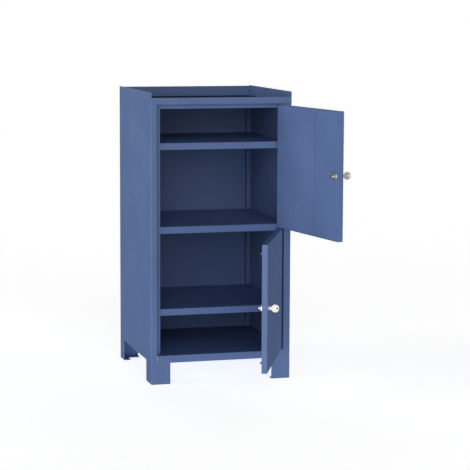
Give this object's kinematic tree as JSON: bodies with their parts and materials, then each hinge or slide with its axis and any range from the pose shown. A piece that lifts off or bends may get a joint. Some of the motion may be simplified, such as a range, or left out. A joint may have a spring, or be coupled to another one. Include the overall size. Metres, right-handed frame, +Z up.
{
  "type": "locker cabinet",
  "caption": "Sheet-steel locker cabinet on feet with a recessed tray top, shelves, and separately hinged doors with cam locks and keys.",
  "frame": {"origin": "on the floor at the middle of the cabinet's base: halfway between the side panels' outer faces and halfway between the front and rear faces", "axes": "+Z up, +Y to the back, +X to the right seen from the front, which is the hinge side"},
  "size_m": [0.5777, 0.9522, 1.0106],
  "materials": {
    "blue_powder_coat": "satin powder coat with a fine orange-peel texture",
    "zinc_steel": "bright zinc plate",
    "nickel": "polished nickel plate",
    "white_nylon": "moulded nylon",
    "clear_rubber": "clear soft rubber that takes its colour from the paint under it",
    "ribbed_rubber": "fine-ribbed matt rubber sheet"
  },
  "bodies": {
    "cabinet": {"left_side_panel": "blue_powder_coat", "right_side_panel": "blue_powder_coat", "back_panel": "blue_powder_coat", "top_tray": "blue_powder_coat", "top_door_stop": "blue_powder_coat", "tray_mat": "ribbed_rubber", "middle_divider": "blue_powder_coat", "floor_panel": "blue_powder_coat", "upper_shelf": "blue_powder_coat", "lower_shelf": "blue_powder_coat", "upper_shelf_rests": "blue_powder_coat", "lower_shelf_rests": "blue_powder_coat", "foot_soles": "blue_powder_coat", "hinge_plates": "blue_powder_coat", "end_hinge_pins": "zinc_steel", "middle_hinge_pin": "zinc_steel"},
    "upper_door": {"upper_door_skin": "blue_powder_coat", "upper_door_liner": "blue_powder_coat", "upper_door_hinge_blocks": "zinc_steel", "upper_door_hinge_bushes": "white_nylon", "upper_door_buffers": "clear_rubber", "upper_lock_housing": "nickel", "upper_lock_nut": "zinc_steel"},
    "upper_lock": {"upper_lock_plug": "nickel", "upper_lock_cam": "zinc_steel", "upper_cam_screw": "zinc_steel"},
    "upper_key": {"upper_key": "nickel"},
    "lower_door": {"lower_door_skin": "blue_powder_coat", "lower_door_liner": "blue_powder_coat", "lower_door_hinge_blocks": "zinc_steel", "lower_door_hinge_bushes": "white_nylon", "lower_door_buffers": "clear_rubber", "lower_lock_housing": "nickel", "lower_lock_nut": "zinc_steel"},
    "lower_lock": {"lower_lock_plug": "nickel", "lower_lock_cam": "zinc_steel", "lower_cam_screw": "zinc_steel"},
    "lower_key": {"lower_key": "nickel"}
  },
  "joints": [
    {"name": "upper_door_hinge", "type": "hinge", "parent": "cabinet", "child": "upper_door", "pos_m": [0.2165, -0.2545, 0.7511], "axis": [0, 0, 1], "range_deg": [-99.6, 12.4]},
    {"name": "upper_lock_turn", "type": "hinge", "parent": "upper_door", "child": "upper_lock", "pos_m": [0.29189, -0.67025, 0.7526], "axis": [0.986, 0.1668, 0], "range_deg": [-180, 0]},
    {"name": "upper_key_pull", "type": "slide", "parent": "upper_lock", "child": "upper_key", "axis": [0.986, 0.1668, 0], "range_m": [0, 0.026]},
    {"name": "lower_door_hinge", "type": "hinge", "parent": "cabinet", "child": "lower_door", "pos_m": [0.2165, -0.2545, 0.3184], "axis": [0, 0, 1], "range_deg": [-66.8, 45.2]},
    {"name": "lower_lock_turn", "type": "hinge", "parent": "lower_door", "child": "lower_lock", "pos_m": [0.05466, -0.6448, 0.3199], "axis": [0.9191, -0.3939, 0], "range_deg": [-180, 0]},
    {"name": "lower_key_pull", "type": "slide", "parent": "lower_lock", "child": "lower_key", "axis": [0.9191, -0.3939, 0], "range_m": [0, 0.026]}
  ]
}
